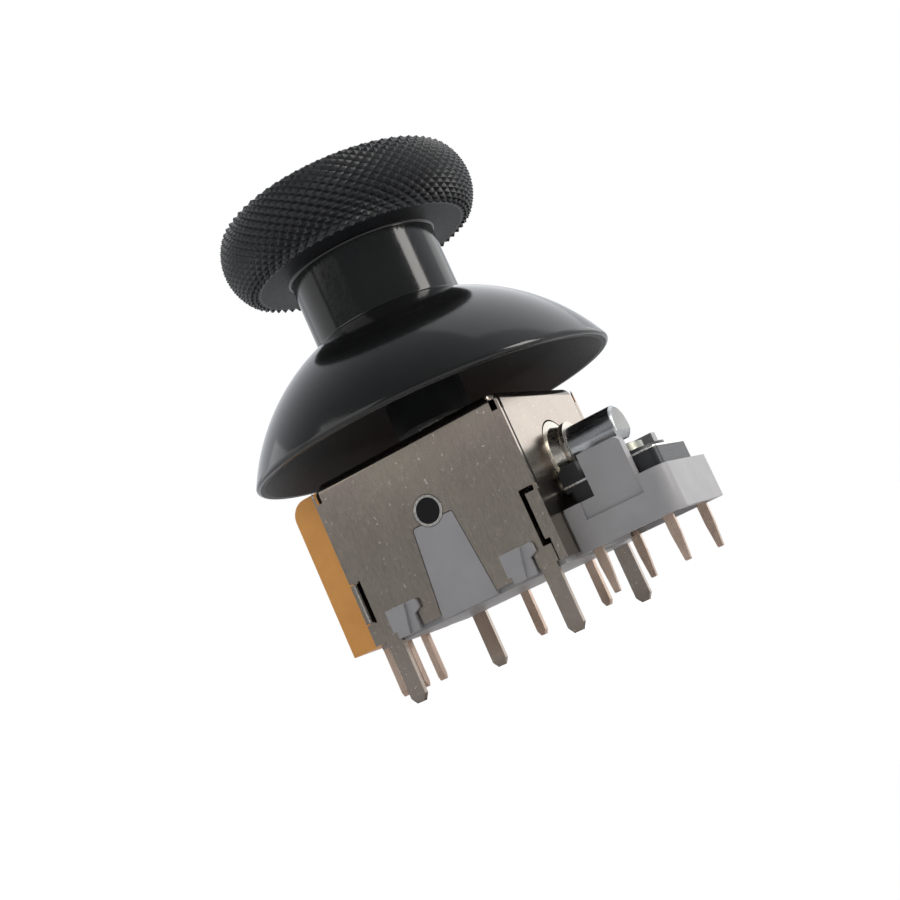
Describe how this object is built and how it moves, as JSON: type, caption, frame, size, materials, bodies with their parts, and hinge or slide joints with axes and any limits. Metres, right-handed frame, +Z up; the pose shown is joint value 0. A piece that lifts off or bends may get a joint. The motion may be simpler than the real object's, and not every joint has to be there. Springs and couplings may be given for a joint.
{
  "type": "controller analog stick",
  "caption": "Two-axis thumb stick for a circuit board, with a domed cap on a folded metal can, two rotary potentiometers and a push switch.",
  "frame": {"origin": "middle of the flat underside of the base, straight under the lever", "axes": "+Z up the lever at rest, +X towards the push switch, -Y towards the face with the visible pivot"},
  "size_m": [0.0251, 0.0236, 0.031],
  "materials": {
    "cap_black": "satin",
    "can_steel": "satin",
    "housing_grey": "satin",
    "case_orange": "satin",
    "pin_tinned": "satin",
    "arm_dark": "satin",
    "shaft_blued": "satin",
    "steel_bright": "bright",
    "switch_black": "satin",
    "cover_bright": "bright",
    "button_black": "satin",
    "board_brown": "matte",
    "rotor_cream": "satin",
    "wiper_brass": "bright"
  },
  "bodies": {
    "base": {"base": "housing_grey", "metal_frame": "can_steel", "pot_left_case": "case_orange", "pot_left_board": "board_brown", "pot_left_terminal_1": "pin_tinned", "pot_left_terminal_2": "pin_tinned", "pot_left_terminal_3": "pin_tinned", "pot_back_case": "case_orange", "pot_back_board": "board_brown", "pot_back_terminal_1": "pin_tinned", "pot_back_terminal_2": "pin_tinned", "pot_back_terminal_3": "pin_tinned", "switch_base": "switch_black", "switch_cover": "cover_bright", "switch_terminal_1": "pin_tinned", "switch_terminal_2": "pin_tinned", "switch_terminal_3": "pin_tinned", "switch_terminal_4": "pin_tinned", "return_spring": "steel_bright", "switch_dome": "steel_bright"},
    "left_rotor": {"pot_left_rotor": "rotor_cream", "pot_left_wiper": "wiper_brass"},
    "cross_pin": {"lever_pin": "steel_bright"},
    "lever": {"lever": "steel_bright", "thumb_cap": "cap_black"},
    "rocking_arm": {"arm_x": "shaft_blued"},
    "arch": {"arm_y": "arm_dark", "pivot_bush": "steel_bright", "pot_back_rotor": "rotor_cream", "pot_back_wiper": "wiper_brass"},
    "button": {"switch_plunger": "button_black"},
    "seat": {"spring_seat": "rotor_cream"}
  },
  "joints": [
    {"name": "tilt_fore_aft", "type": "hinge", "parent": "base", "child": "left_rotor", "pos_m": [0, 0, 0.0061], "axis": [1, 0, 0], "range_deg": [-18, 18], "stiffness_Nm_per_rad": 0.03},
    {"name": "press", "type": "slide", "parent": "left_rotor", "child": "cross_pin", "axis": [0, 0, -1], "range_m": [0, 0.0001], "stiffness_N_per_m": 5000},
    {"name": "tilt_left_right", "type": "hinge", "parent": "cross_pin", "child": "lever", "pos_m": [0, 0, 0.0061], "axis": [0, 1, 0], "range_deg": [-18, 18], "stiffness_Nm_per_rad": 0.03},
    {"name": "arm_rock", "type": "hinge", "parent": "left_rotor", "child": "rocking_arm", "pos_m": [-0.0066, 0, 0.0061], "axis": [0, 1, 0], "range_deg": [0, 0.9]},
    {"name": "arch_swing", "type": "hinge", "parent": "base", "child": "arch", "pos_m": [0, 0, 0.0061], "axis": [0, 1, 0], "range_deg": [-18, 18]},
    {"name": "button_press", "type": "slide", "parent": "base", "child": "button", "axis": [0, 0, -1], "range_m": [0, 0.00025], "deforming": ["switch_dome"]},
    {"name": "seat_press", "type": "slide", "parent": "base", "child": "seat", "axis": [0, 0, -1], "range_m": [0, 0.0001], "deforming": ["return_spring"]}
  ],
  "couplings": [
    {"joint": "arm_rock", "follows": "press", "rad_per_m": 151.51},
    {"joint": "button_press", "follows": "press", "ratio": 2.4},
    {"joint": "seat_press", "follows": "press", "ratio": 1},
    {"joint": "arch_swing", "follows": "tilt_left_right", "ratio": 1}
  ]
}
